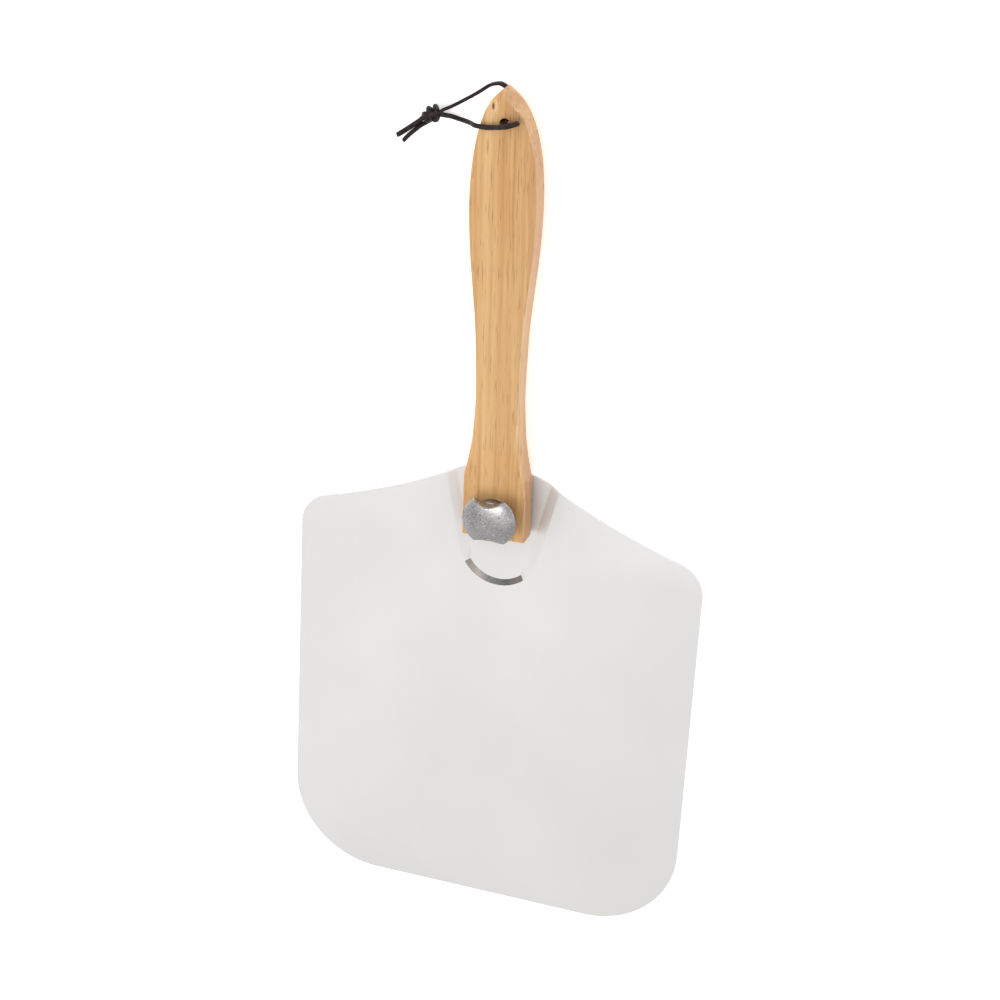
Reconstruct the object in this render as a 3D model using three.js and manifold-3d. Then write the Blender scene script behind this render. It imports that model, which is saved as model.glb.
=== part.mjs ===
// A folding pizza peel: a pressed aluminium blade and a wooden handle that swings on a pivot bolt and is
// clamped by a cast knob, with a leather hanging thong through the handle's tip.
// Millimetres, +Z up. The pivot axis is x = y = 0, the handle points along +Y, and z = 0 is the surface
// that the peel lies on.
import * as THREE from "three";
import { mergeVertices } from "three/addons/utils/BufferGeometryUtils.js";
import Module from "manifold-3d";

const wasm = await Module();
wasm.setup();

// Blade: one pressed sheet, flat on top, with a U-shaped recess that runs out at its neck.
const SHEET = 1.5;
const BLADE_TOP = 7;
const FRONT_Y = -326.3;
const FRONT_HALF_WIDTH = 152.4;
const REAR_HALF_WIDTH = 153.7;
const FRONT_CORNER_RADIUS = 68.7;
const REAR_CORNER_RADIUS = 24.5;
const REAR_CORNER_Y = -42.4;
const SHOULDER_START = new THREE.Vector2(136.4, -19);
const SHOULDER_BEND = new THREE.Vector2(81.1, -3);
const SHOULDER_END = new THREE.Vector2(36, 22.3);
const NECK_BEND_X = 23.5;
const NECK_Y = 29.3;
const RECESS_DEPTH = 2.5;
const RECESS_RADIUS = 30;
const RECESS_Y = -33.5;
const RECESS_SPLAY = THREE.MathUtils.degToRad(13.2);
const RECESS_SIDE = 105;
const RECESS_FLOOR_SCALE = new THREE.Vector2(0.75, 0.867);

// Pivot: a bolt with a square neck up through the blade, and the pieces stacked on it.
const CLEARANCE = 0.3;
const BOLT_RADIUS = 3;
const BOLT_NECK = 6;
const BOLT_HEAD_RADIUS = 8;
const BOLT_HEAD_HEIGHT = 2.7;
const BOLT_TOP = 38.5;
const BORE_RADIUS = BOLT_RADIUS + CLEARANCE;
const RECESS_FLOOR = BLADE_TOP - RECESS_DEPTH;
const FRICTION_WASHER_RADIUS = 16;
const THRUST_WASHER = { bottom: 25.3, top: 26.3, radius: 13.5 };
const SPRING_WASHER = { bottom: 26.6, top: 27.4, radius: 11.5 };
const KNOB_BOTTOM = 27.7;
const KNOB_RIM_BOTTOM = 33;
const KNOB_RIM_TOP = 35;
const KNOB_APEX = 43.8;
const KNOB_RADIUS = 20;
const KNOB_HUB_RADIUS = 13.5;
const KNOB_NOTCH_RADIUS = 17.8;
const KNOB_NOTCH_DEPTH_RADIUS = 12.9;
const KNOB_TURN = THREE.MathUtils.degToRad(2.5);
const INSERT_RADIUS = 4.7;
const INSERT_BOTTOM = KNOB_BOTTOM + 0.6;
const INSERT_TOP = 40;

// Handle: one plank, sawn to a paddle-like grip. It is left turned a little on the pivot.
const HANDLE_REST_TURN = THREE.MathUtils.degToRad(1.43);
const HANDLE_BOTTOM = BLADE_TOP + 0.5;
const HANDLE_TOP = 25;
const HANDLE_END = -18;
const HANDLE_BEVEL = 1.2;
const HEEL_HALF_WIDTH = 23.2;
const HEEL_TOP = 28;
// Half-width of the grip against its distance from the pivot, from the flare to the pointed tip.
const GRIP = [
  [HEEL_TOP, HEEL_HALF_WIDTH],
  [44, 20],
  [57, 18],
  [73, 16.6],
  [91, 15.9],
  [120, 16.7],
  [145, 17.9],
  [170, 20.4],
  [200, 23.2],
  [232, 24.5],
  [258, 23.3],
  [277, 20.4],
  [290, 16.8],
  [301, 12.1],
  [308, 7.3],
];
const HANDLE_TIP = 314.6;
// The grip's centre line leans to the left from here to the tip.
const LEAN_START = 262;
const TIP_LEAN = 2.3;
const BUSH_RADIUS = 4.7;
const HANG_HOLE_Y = 291;
const HANG_HOLE_RADIUS = 4;

// Thong: one strand leaves the hole over the handle's face, the other under it, and both end in a knot.
const THONG_RADIUS = 1.5;
const THONG_SIDES = 8;
const FRONT_ROUTE = [
  [-9.4, 290.9, 16.2],
  [-9.4, 290.9, 20.5],
  [-9, 290.8, 24],
  [-7.2, 290.6, 26.3],
  [-4, 290.8, 27.2],
  [-0.6, 292, 27.6],
  [2.3, 293.6, 28.9],
  [3.8, 294.8, 31.4],
  [3.2, 294.8, 34],
  [0.4, 293.8, 35.3],
  [-3.6, 292.2, 34.7],
  [-8, 290.6, 32.6],
  [-12.6, 289.1, 29.9],
  [-17, 287.7, 27.9],
  [-21.6, 287.3, 27.5],
  [-28, 287, 25.9],
  [-33.6, 285.2, 17.5],
  [-40.2, 283.6, 9.6],
  [-46.6, 282.5, 4.2],
  [-52.8, 282.8, 2.2],
  [-58.2, 283.3, 3],
];
const BACK_ROUTE = [
  [-9.4, 290.9, 15.9],
  [-9.3, 291.1, 12],
  [-9, 291.8, 8.2],
  [-8.8, 294.3, 5],
  [-9.4, 298.6, 3.7],
  [-10.8, 302.8, 2.7],
  [-12.8, 306.6, 2],
  [-15.6, 309.6, 1.8],
  [-19.1, 311, 1.8],
  [-22.7, 310.5, 1.8],
  [-25.7, 309.4, 1.8],
  [-29.2, 307.1, 1.8],
  [-35.6, 302, 1.8],
  [-43.6, 296.4, 1.8],
  [-53.1, 290.1, 2],
  [-58.9, 287, 3],
];
const TAIL_1_ROUTE = [
  [-72.2, 279.9, 2.6],
  [-76.6, 276, 1.9],
  [-82.1, 271.4, 1.8],
  [-87.2, 267.3, 1.8],
  [-92.3, 263.4, 1.8],
];
const TAIL_2_ROUTE = [
  [-69.9, 276.9, 2.4],
  [-74.8, 273.4, 1.9],
  [-80.4, 268.2, 1.8],
  [-84.4, 264.1, 1.8],
  [-87.6, 260.2, 1.8],
];
const KNOT_CENTRE = new THREE.Vector3(-65.2, 284.2, 6.6);
const KNOT_RADII = new THREE.Vector3(7, 6.2, 6.2);

const FINISHES = {
  aluminium: { color: 0xd9dadb, roughness: 0.35, metalness: 1 },
  steel: { color: 0xb4b6b8, roughness: 0.3, metalness: 1 },
  castMetal: { color: 0x8c8e90, roughness: 0.45, metalness: 1 },
  brass: { color: 0xc9a556, roughness: 0.35, metalness: 1 },
  fibre: { color: 0x3a2519, roughness: 0.85, metalness: 0 },
  wood: { color: 0xd9ad72, roughness: 0.6, metalness: 0 },
  leather: { color: 0x2b1a15, roughness: 0.7, metalness: 0 },
};

// A closed three.js geometry as a manifold solid.
function solidOf(geometry) {
  const loose = geometry.index ? geometry.toNonIndexed() : geometry.clone();
  loose.deleteAttribute("normal");
  loose.deleteAttribute("uv");
  const merged = mergeVertices(loose, 1e-4);
  const vertProperties = merged.attributes.position.array;
  const triVerts = new Uint32Array(merged.index.array);
  return new wasm.Manifold(new wasm.Mesh({ numProp: 3, vertProperties, triVerts }));
}

// A manifold solid as a three.js geometry.
function geometryOf(solid) {
  const mesh = solid.getMesh();
  return new THREE.BufferGeometry()
    .setAttribute("position", new THREE.BufferAttribute(mesh.vertProperties, 3))
    .setIndex(new THREE.BufferAttribute(mesh.triVerts, 1));
}

function part(name, geometry, finish) {
  const mesh = new THREE.Mesh(geometry, new THREE.MeshStandardMaterial(FINISHES[finish]));
  mesh.name = name;
  return mesh;
}

// A plan outline extruded straight up between two heights.
function prism(shape, bottom, top, curveSegments = 12) {
  const options = { depth: top - bottom, bevelEnabled: false, curveSegments };
  return new THREE.ExtrudeGeometry(shape, options).translate(0, 0, bottom);
}

// A solid of revolution about Z, from [radius, z] corners that start and end on the axis.
function turned(corners, segments = 48) {
  const profile = corners.map(([radius, z]) => new THREE.Vector2(radius, z));
  return new THREE.LatheGeometry(profile, segments).rotateX(Math.PI / 2);
}

// A flat disc between two heights, with a round hole.
function ring(outerRadius, innerRadius, bottom, top, segments = 48) {
  const shape = new THREE.Shape().absarc(0, 0, outerRadius, 0, 2 * Math.PI);
  shape.holes.push(new THREE.Path().absarc(0, 0, innerRadius, 0, 2 * Math.PI));
  return prism(shape, bottom, top, segments);
}

function bladeOutline() {
  const shape = new THREE.Shape();
  const corner = FRONT_HALF_WIDTH - FRONT_CORNER_RADIUS;
  const rear = REAR_HALF_WIDTH - REAR_CORNER_RADIUS;
  const frontY = FRONT_Y + FRONT_CORNER_RADIUS;
  const rearAngle = Math.acos((SHOULDER_START.x - rear) / REAR_CORNER_RADIUS);
  shape.moveTo(-corner, FRONT_Y);
  shape.lineTo(corner, FRONT_Y);
  shape.absarc(corner, frontY, FRONT_CORNER_RADIUS, -Math.PI / 2, 0);
  shape.absarc(rear, REAR_CORNER_Y, REAR_CORNER_RADIUS, 0, rearAngle);
  shape.quadraticCurveTo(SHOULDER_BEND.x, SHOULDER_BEND.y, SHOULDER_END.x, SHOULDER_END.y);
  shape.quadraticCurveTo(NECK_BEND_X, NECK_Y, 0, NECK_Y);
  shape.quadraticCurveTo(-NECK_BEND_X, NECK_Y, -SHOULDER_END.x, SHOULDER_END.y);
  shape.quadraticCurveTo(
    -SHOULDER_BEND.x,
    SHOULDER_BEND.y,
    -SHOULDER_START.x,
    SHOULDER_START.y,
  );
  shape.absarc(-rear, REAR_CORNER_Y, REAR_CORNER_RADIUS, Math.PI - rearAngle, Math.PI);
  shape.absarc(-corner, frontY, FRONT_CORNER_RADIUS, Math.PI, 1.5 * Math.PI);
  return shape;
}

// The recess as a tapering plug: the rim's outline at the blade's top plane, smaller at the recess's
// floor, and carried 1 mm above the blade. Its two arms run past the neck.
function recessPlug() {
  const rise = 1;
  const end = Math.PI + RECESS_SPLAY;
  const side = new THREE.Vector2(Math.sin(RECESS_SPLAY), Math.cos(RECESS_SPLAY));
  const foot = new THREE.Vector2(Math.cos(RECESS_SPLAY), -Math.sin(RECESS_SPLAY));
  foot.multiplyScalar(RECESS_RADIUS);
  const top = foot.clone().addScaledVector(side, RECESS_SIDE);
  const shape = new THREE.Shape();
  shape.moveTo(-top.x, top.y);
  shape.lineTo(-foot.x, foot.y);
  shape.absarc(0, 0, RECESS_RADIUS, end, 2 * Math.PI - RECESS_SPLAY);
  shape.lineTo(top.x, top.y);
  const plug = prism(shape, -RECESS_DEPTH, rise, 32);
  const position = plug.attributes.position;
  for (let i = 0; i < position.count; i++) {
    const fall = -position.getZ(i) / RECESS_DEPTH;
    const scaleX = 1 - fall * (1 - RECESS_FLOOR_SCALE.x);
    const scaleY = 1 - fall * (1 - RECESS_FLOOR_SCALE.y);
    position.setX(i, position.getX(i) * scaleX);
    position.setY(i, position.getY(i) * scaleY);
  }
  return plug.translate(0, RECESS_Y, BLADE_TOP);
}

function blade() {
  const outline = bladeOutline();
  const plug = recessPlug();
  const plate = solidOf(prism(outline, BLADE_TOP - SHEET, BLADE_TOP));
  const below = prism(outline, RECESS_FLOOR - SHEET, BLADE_TOP - SHEET / 3);
  const dish = solidOf(plug.clone().translate(0, 0, -SHEET)).intersect(solidOf(below));
  const hole = BOLT_NECK + 2 * CLEARANCE;
  const squareHole = solidOf(new THREE.BoxGeometry(hole, hole, 20));
  const pressed = plate.add(dish).subtract(solidOf(plug)).subtract(squareHole);
  return part("blade", geometryOf(pressed), "aluminium");
}

function pivotBolt() {
  const shank = turned([
    [0, 0],
    [BOLT_HEAD_RADIUS - 0.6, 0],
    [BOLT_HEAD_RADIUS, 0.8],
    [BOLT_HEAD_RADIUS, BOLT_HEAD_HEIGHT],
    [BOLT_RADIUS, BOLT_HEAD_HEIGHT],
    [BOLT_RADIUS, BOLT_TOP - 0.8],
    [BOLT_RADIUS - 0.8, BOLT_TOP],
    [0, BOLT_TOP],
  ]);
  const neckBottom = BOLT_HEAD_HEIGHT - 0.5;
  const neckHeight = RECESS_FLOOR - neckBottom;
  const neck = new THREE.BoxGeometry(BOLT_NECK, BOLT_NECK, neckHeight);
  neck.translate(0, 0, neckBottom + neckHeight / 2);
  return part("pivot_bolt", geometryOf(solidOf(shank).add(solidOf(neck))), "steel");
}

function frictionWasher() {
  const bottom = RECESS_FLOOR + CLEARANCE;
  const top = HANDLE_BOTTOM - CLEARANCE;
  const disc = ring(FRICTION_WASHER_RADIUS, BORE_RADIUS, bottom, top);
  return part("friction_washer", disc, "fibre");
}

function leaned(x, y) {
  const share = Math.max(0, (y - LEAN_START) / (HANDLE_TIP - LEAN_START));
  return new THREE.Vector2(x - TIP_LEAN * share ** 2, y);
}

// The grip's right side is a smooth curve through GRIP up to the tip. The left side mirrors it.
function handleOutline() {
  const side = GRIP.map(([y, halfWidth]) => new THREE.Vector2(halfWidth, y));
  side.push(new THREE.Vector2(0, HANDLE_TIP));
  const curve = new THREE.SplineCurve(side).getPoints(GRIP.length * 3);
  const right = curve.map(({ x, y }) => leaned(x, y));
  const left = curve.slice(0, -1).map(({ x, y }) => leaned(-x, y));
  const shape = new THREE.Shape();
  shape.moveTo(-HEEL_HALF_WIDTH, HANDLE_END);
  shape.lineTo(HEEL_HALF_WIDTH, HANDLE_END);
  for (const point of [...right, ...left.reverse()]) {
    shape.lineTo(point.x, point.y);
  }
  return shape;
}

function handle() {
  const outline = handleOutline();
  const depth = HANDLE_TOP - HANDLE_BOTTOM - 2 * HANDLE_BEVEL;
  const plank = new THREE.ExtrudeGeometry(outline, {
    depth,
    bevelThickness: HANDLE_BEVEL,
    bevelSize: HANDLE_BEVEL,
    bevelOffset: -HANDLE_BEVEL,
    bevelSegments: 1,
  }).translate(0, 0, HANDLE_BOTTOM + HANDLE_BEVEL);
  const pivotHole = new THREE.CylinderGeometry(
    BUSH_RADIUS + CLEARANCE,
    BUSH_RADIUS + CLEARANCE,
    60,
    32,
  ).rotateX(Math.PI / 2);
  const hangHole = new THREE.CylinderGeometry(HANG_HOLE_RADIUS, HANG_HOLE_RADIUS, 60, 24)
    .rotateX(Math.PI / 2)
    .translate(0, HANG_HOLE_Y, 0);
  const drilled = solidOf(plank).subtract(solidOf(pivotHole)).subtract(solidOf(hangHole));
  return part("handle", geometryOf(drilled), "wood");
}

function handleBush() {
  const tube = ring(BUSH_RADIUS, BORE_RADIUS, HANDLE_BOTTOM, HANDLE_TOP, 32);
  return part("handle_bush", tube, "brass");
}

function washer(name, { bottom, top, radius }) {
  return part(name, ring(radius, BORE_RADIUS, bottom, top), "steel");
}

// A finger notch in the knob's rim, as a cylinder that stands outside it at one end of the handle's axis.
function knobNotch(direction) {
  const distance = KNOB_NOTCH_DEPTH_RADIUS + KNOB_NOTCH_RADIUS;
  const notch = new THREE.CylinderGeometry(KNOB_NOTCH_RADIUS, KNOB_NOTCH_RADIUS, 40, 64);
  notch.rotateX(Math.PI / 2);
  return solidOf(notch.translate(0, direction * distance, KNOB_RIM_BOTTOM + 20));
}

// The knob's dome is a spherical cap over a thin rim, on a narrower hub with a blind bore.
function knob() {
  const sagitta = KNOB_APEX - KNOB_RIM_TOP;
  const sphereRadius = (KNOB_RADIUS ** 2 + sagitta ** 2) / (2 * sagitta);
  const capAngle = Math.asin(KNOB_RADIUS / sphereRadius);
  const steps = 12;
  const dome = [];
  for (let i = 0; i <= steps; i++) {
    const angle = capAngle * (1 - i / steps);
    const radius = sphereRadius * Math.sin(angle);
    dome.push([radius, KNOB_APEX - sphereRadius * (1 - Math.cos(angle))]);
  }
  const body = turned([
    [0, KNOB_BOTTOM],
    [KNOB_HUB_RADIUS, KNOB_BOTTOM],
    [KNOB_HUB_RADIUS, KNOB_RIM_BOTTOM],
    [KNOB_RADIUS, KNOB_RIM_BOTTOM],
    ...dome,
  ], 64);
  const boreRadius = INSERT_RADIUS + CLEARANCE;
  const boreTop = INSERT_TOP + CLEARANCE;
  const bore = new THREE.CylinderGeometry(boreRadius, boreRadius, boreTop, 32);
  bore.rotateX(Math.PI / 2).translate(0, 0, boreTop / 2);
  const solid = solidOf(body).subtract(solidOf(bore)).subtract(knobNotch(1));
  const mesh = part("knob", geometryOf(solid.subtract(knobNotch(-1))), "castMetal");
  mesh.rotation.z = KNOB_TURN;
  return mesh;
}

function knobInsert() {
  const tube = ring(INSERT_RADIUS, BORE_RADIUS, INSERT_BOTTOM, INSERT_TOP, 32);
  return part("knob_insert", tube, "brass");
}

// A round thong of THONG_SIDES sides along a smooth curve through the route's points.
function thong(name, route) {
  const curve = new THREE.CatmullRomCurve3(route.map((point) => new THREE.Vector3(...point)));
  const section = new THREE.Shape();
  for (let i = 0; i < THONG_SIDES; i++) {
    const angle = (2 * Math.PI * i) / THONG_SIDES;
    section.lineTo(THONG_RADIUS * Math.cos(angle), THONG_RADIUS * Math.sin(angle));
  }
  const steps = Math.round(curve.getLength() / (2 * THONG_RADIUS * 1.6));
  const tube = new THREE.ExtrudeGeometry(section, { steps, extrudePath: curve });
  return part(name, tube, "leather");
}

function knot() {
  const ball = new THREE.SphereGeometry(1, 20, 14);
  ball.scale(KNOT_RADII.x, KNOT_RADII.y, KNOT_RADII.z).rotateZ(0.6);
  ball.translate(KNOT_CENTRE.x, KNOT_CENTRE.y, KNOT_CENTRE.z);
  return part("cord_knot", ball, "leather");
}

const bladeAssembly = new THREE.Group();
bladeAssembly.add(blade(), pivotBolt(), frictionWasher());

const woodenHandle = new THREE.Group();
woodenHandle.rotation.z = HANDLE_REST_TURN;
woodenHandle.add(handle(), handleBush());

const hangingThong = new THREE.Group();
hangingThong.add(
  thong("cord_front", FRONT_ROUTE),
  thong("cord_back", BACK_ROUTE),
  knot(),
  thong("cord_tail_1", TAIL_1_ROUTE),
  thong("cord_tail_2", TAIL_2_ROUTE),
);

const handleAssembly = new THREE.Group();
handleAssembly.add(woodenHandle, hangingThong);

const clampAssembly = new THREE.Group();
clampAssembly.add(
  washer("thrust_washer", THRUST_WASHER),
  washer("spring_washer", SPRING_WASHER),
  knob(),
  knobInsert(),
);

const peel = new THREE.Group();
peel.name = "pizza_peel";
peel.add(bladeAssembly, handleAssembly, clampAssembly);

export default peel;
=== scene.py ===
# The looks of a folding pizza peel: a pressed aluminium blade, a wooden handle, a cast clamp knob and a
# leather hanging thong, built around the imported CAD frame. Metres, +Z up, pivot axis at x = y = 0.
import math

import bmesh
import bpy
from mathutils import Matrix, Vector
from mathutils.geometry import delaunay_2d_cdt


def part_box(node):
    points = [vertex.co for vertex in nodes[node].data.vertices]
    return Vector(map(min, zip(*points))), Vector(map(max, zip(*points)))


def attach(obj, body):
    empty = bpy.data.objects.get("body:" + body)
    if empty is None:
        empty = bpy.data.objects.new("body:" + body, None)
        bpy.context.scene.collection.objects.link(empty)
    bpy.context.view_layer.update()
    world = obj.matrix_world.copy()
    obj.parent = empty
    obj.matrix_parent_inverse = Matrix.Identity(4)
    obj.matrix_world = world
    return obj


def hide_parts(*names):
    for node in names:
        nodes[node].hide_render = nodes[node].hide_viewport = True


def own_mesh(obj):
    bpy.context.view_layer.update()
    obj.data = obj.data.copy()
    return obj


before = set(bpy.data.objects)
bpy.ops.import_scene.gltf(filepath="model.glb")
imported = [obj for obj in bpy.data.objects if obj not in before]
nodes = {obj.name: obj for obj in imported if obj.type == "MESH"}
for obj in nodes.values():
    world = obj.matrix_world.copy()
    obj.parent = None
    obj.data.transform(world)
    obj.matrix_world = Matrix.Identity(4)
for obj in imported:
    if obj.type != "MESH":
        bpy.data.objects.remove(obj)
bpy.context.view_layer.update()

blade_low, blade_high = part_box("blade")
handle_low, handle_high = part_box("handle")
knob_low, knob_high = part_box("knob")
knot_low, knot_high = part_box("cord_knot")

# Camera: it looks down past the handle's tip, turned on its axis so that
# the handle points up in the picture.
CAMERA_PLACE = Vector((0.5658, 0.8917, 1.8078))
CAMERA_TARGET = Vector((-0.00115, 0.0046, 0.007))
CAMERA_ROLL = math.radians(-140.2)
CAMERA_LENS = 104.4

# Blade: the CAD sheet's shape, with soft press radii.
SHEET = 0.0015
FRONT_HALF_WIDTH = 0.1524
FRONT_CORNER_RADIUS = 0.0687
REAR_CORNER_RADIUS = 0.0245
REAR_CORNER_Y = -0.0424
SHOULDER_START = Vector((0.1364, -0.019))
SHOULDER_BEND = Vector((0.0811, -0.003))
SHOULDER_END = Vector((0.036, 0.0223))
NECK_BEND_X = 0.0235
RECESS_DEPTH = 0.0025
RECESS_RADIUS = 0.030
RECESS_Y = -0.0335
RECESS_SPLAY = math.radians(13.2)
RECESS_WALL_AT_ARC = 0.0040
RECESS_WALL_AT_SIDE = 0.0075
END_WALL_LEFT = math.radians(57)
END_WALL_RIGHT = math.radians(42)
PRESS_RADIUS = 0.0004
BOLT_HOLE = 0.0066

# Pivot bolt: a low round head with a plain shank.
BOLT_RADIUS = 0.003
BOLT_HEAD_FLAT = 0.0062
BOLT_HEAD_RADIUS = 0.008
BOLT_HEAD_HEIGHT = 0.0027
BOLT_TIP_CHAMFER = 0.0008

# Handle: half-width of the grip against its distance from the pivot, as in the CAD plank.
HANDLE_TURN = math.radians(1.43)
HANDLE_END = -0.018
HANDLE_TIP = 0.3146
LEAN_START = 0.262
TIP_LEAN = 0.0023
GRIP = [
    (0.0232, 0.028),
    (0.0200, 0.044),
    (0.0180, 0.057),
    (0.0166, 0.073),
    (0.0159, 0.091),
    (0.0167, 0.120),
    (0.0179, 0.145),
    (0.0204, 0.170),
    (0.0232, 0.200),
    (0.0245, 0.232),
    (0.0233, 0.258),
    (0.0204, 0.277),
    (0.0168, 0.290),
    (0.0121, 0.301),
    (0.0073, 0.308),
    (0.0, HANDLE_TIP),
]
HANG_HOLE_Y = 0.291
KNOT_MARK = Vector((-0.0085, 0.3025, 0.025))
HANG_HOLE_RADIUS = 0.004
PIVOT_HOLE_RADIUS = 0.005
EDGE_BREAK = 0.0013
TIP_CHAMFER = 0.0038
TIP_CHAMFER_GROWS = (0.295, 0.311)
FLARE_CHAMFER = 0.0024
FLARE_CHAMFER_GROWS = (0.018, 0.036)
FLARE_CHAMFER_FADES = (0.052, 0.075)
CHAMFER_STEEPNESS = 0.75

# Knob: a domed cap with two finger notches on a round hub.
KNOB_TURN = math.radians(2.5)
KNOB_RADIUS = 0.020
KNOB_RIM_TOP = 0.035
KNOB_RIM_BOTTOM = 0.033
KNOB_HUB_RADIUS = 0.0135
KNOB_NOTCH_RADIUS = 0.0178
KNOB_NOTCH_DEPTH_RADIUS = 0.0129
KNOB_EDGE = 0.0007
KNOB_BORE_RADIUS = 0.005
KNOB_BORE_TOP = 0.0403

# Thong: a flat leather lace. The routes repeat the CAD tubes'.
THONG_WIDTH = 0.0034
THONG_THICKNESS = 0.0024
FRONT_ROUTE = [
    (-0.0094, 0.2909, 0.0162),
    (-0.0094, 0.2909, 0.0205),
    (-0.0090, 0.2908, 0.0240),
    (-0.0072, 0.2906, 0.0263),
    (-0.0040, 0.2908, 0.0272),
    (-0.0006, 0.2920, 0.0276),
    (0.0023, 0.2936, 0.0289),
    (0.0038, 0.2948, 0.0314),
    (0.0032, 0.2948, 0.0340),
    (0.0004, 0.2938, 0.0353),
    (-0.0036, 0.2922, 0.0347),
    (-0.0080, 0.2906, 0.0326),
    (-0.0126, 0.2891, 0.0299),
    (-0.0170, 0.2877, 0.0279),
    (-0.0216, 0.2873, 0.0275),
    (-0.0280, 0.2870, 0.0259),
    (-0.0336, 0.2852, 0.0175),
    (-0.0402, 0.2836, 0.0096),
    (-0.0466, 0.2825, 0.0042),
    (-0.0528, 0.2828, 0.0022),
    (-0.0582, 0.2833, 0.0030),
]
BACK_ROUTE = [
    (-0.0094, 0.2909, 0.0159),
    (-0.0093, 0.2911, 0.0120),
    (-0.0090, 0.2918, 0.0082),
    (-0.0088, 0.2943, 0.0050),
    (-0.0094, 0.2986, 0.0037),
    (-0.0108, 0.3028, 0.0027),
    (-0.0128, 0.3066, 0.0020),
    (-0.0156, 0.3096, 0.0018),
    (-0.0191, 0.3110, 0.0018),
    (-0.0227, 0.3105, 0.0018),
    (-0.0257, 0.3094, 0.0018),
    (-0.0292, 0.3071, 0.0018),
    (-0.0356, 0.3020, 0.0018),
    (-0.0436, 0.2964, 0.0018),
    (-0.0531, 0.2901, 0.0020),
    (-0.0589, 0.2870, 0.0030),
]
TAIL_1_ROUTE = [
    (-0.0722, 0.2799, 0.0026),
    (-0.0766, 0.2760, 0.0019),
    (-0.0821, 0.2714, 0.0018),
    (-0.0872, 0.2673, 0.0018),
    (-0.0923, 0.2634, 0.0018),
]
TAIL_2_ROUTE = [
    (-0.0699, 0.2769, 0.0024),
    (-0.0748, 0.2734, 0.0019),
    (-0.0804, 0.2682, 0.0018),
    (-0.0844, 0.2641, 0.0018),
    (-0.0876, 0.2602, 0.0018),
]
KNOT_TURNS = 2.2
KNOT_PITCH = 0.0044
KNOT_RADIUS = 0.0043


def smoothstep(low, high, value):
    t = min(1.0, max(0.0, (value - low) / (high - low)))
    return t * t * (3 - 2 * t)


def catmull_rom(points, steps):
    """Points along a smooth curve through the given ones, with steps between each two."""
    found = []
    last = len(points) - 1
    for i in range(last):
        a, b = Vector(points[max(i - 1, 0)]), Vector(points[i])
        c, d = Vector(points[i + 1]), Vector(points[min(i + 2, last)])
        for k in range(steps):
            t = k / steps
            v0, v1 = (c - a) * 0.5, (d - b) * 0.5
            cubic = (2 * b - 2 * c + v0 + v1) * t**3 + (3 * c - 3 * b - 2 * v0 - v1) * t**2
            found.append(cubic + v0 * t + b)
    found.append(Vector(points[last]))
    return found


def quadratic(a, b, c, steps):
    """Points on a quadratic curve from just after a to c, bent towards b."""
    found = []
    for k in range(1, steps + 1):
        t = k / steps
        found.append(a * (1 - t) ** 2 + b * 2 * t * (1 - t) + c * t**2)
    return found


def arc(centre, radius, start, end, steps):
    found = []
    for k in range(steps + 1):
        angle = start + (end - start) * k / steps
        found.append(centre + Vector((math.cos(angle), math.sin(angle))) * radius)
    return found


def mesh_object(name, vertices, faces, sharp_angle=35):
    """A mesh piece with smooth shading, broken at edges sharper than sharp_angle degrees."""
    mesh = bpy.data.meshes.new(name)
    mesh.from_pydata([tuple(v) for v in vertices], [], faces)
    mesh.validate()
    piece = bpy.data.objects.new(name, mesh)
    bpy.context.scene.collection.objects.link(piece)
    tidy_normals(piece, sharp_angle)
    return piece


def tidy_normals(piece, sharp_angle=35):
    mesh = bmesh.new()
    mesh.from_mesh(piece.data)
    bmesh.ops.remove_doubles(mesh, verts=mesh.verts, dist=1e-7)
    bmesh.ops.recalc_face_normals(mesh, faces=mesh.faces)
    for face in mesh.faces:
        face.smooth = True
    for edge in mesh.edges:
        edge.smooth = edge.calc_face_angle(0) < math.radians(sharp_angle)
    mesh.to_mesh(piece.data)
    mesh.free()


def apply_modifiers(piece):
    bpy.context.view_layer.update()
    evaluated = piece.evaluated_get(bpy.context.evaluated_depsgraph_get())
    baked = bpy.data.meshes.new_from_object(evaluated)
    piece.modifiers.clear()
    piece.data = baked


def drill(piece, x, y, radius, low, high, segments=48):
    """Cuts a round vertical hole through a piece."""
    mesh = bmesh.new()
    place = Matrix.Translation((x, y, (low + high) / 2))
    bmesh.ops.create_cone(
        mesh, cap_ends=True, segments=segments, radius1=radius, radius2=radius,
        depth=high - low, matrix=place,
    )
    data = bpy.data.meshes.new("drill")
    mesh.to_mesh(data)
    mesh.free()
    bit = bpy.data.objects.new("drill", data)
    bpy.context.scene.collection.objects.link(bit)
    cut = piece.modifiers.new("drill", "BOOLEAN")
    cut.operation = "DIFFERENCE"
    cut.solver = "EXACT"
    cut.object = bit
    apply_modifiers(piece)
    bpy.data.objects.remove(bit)


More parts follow.
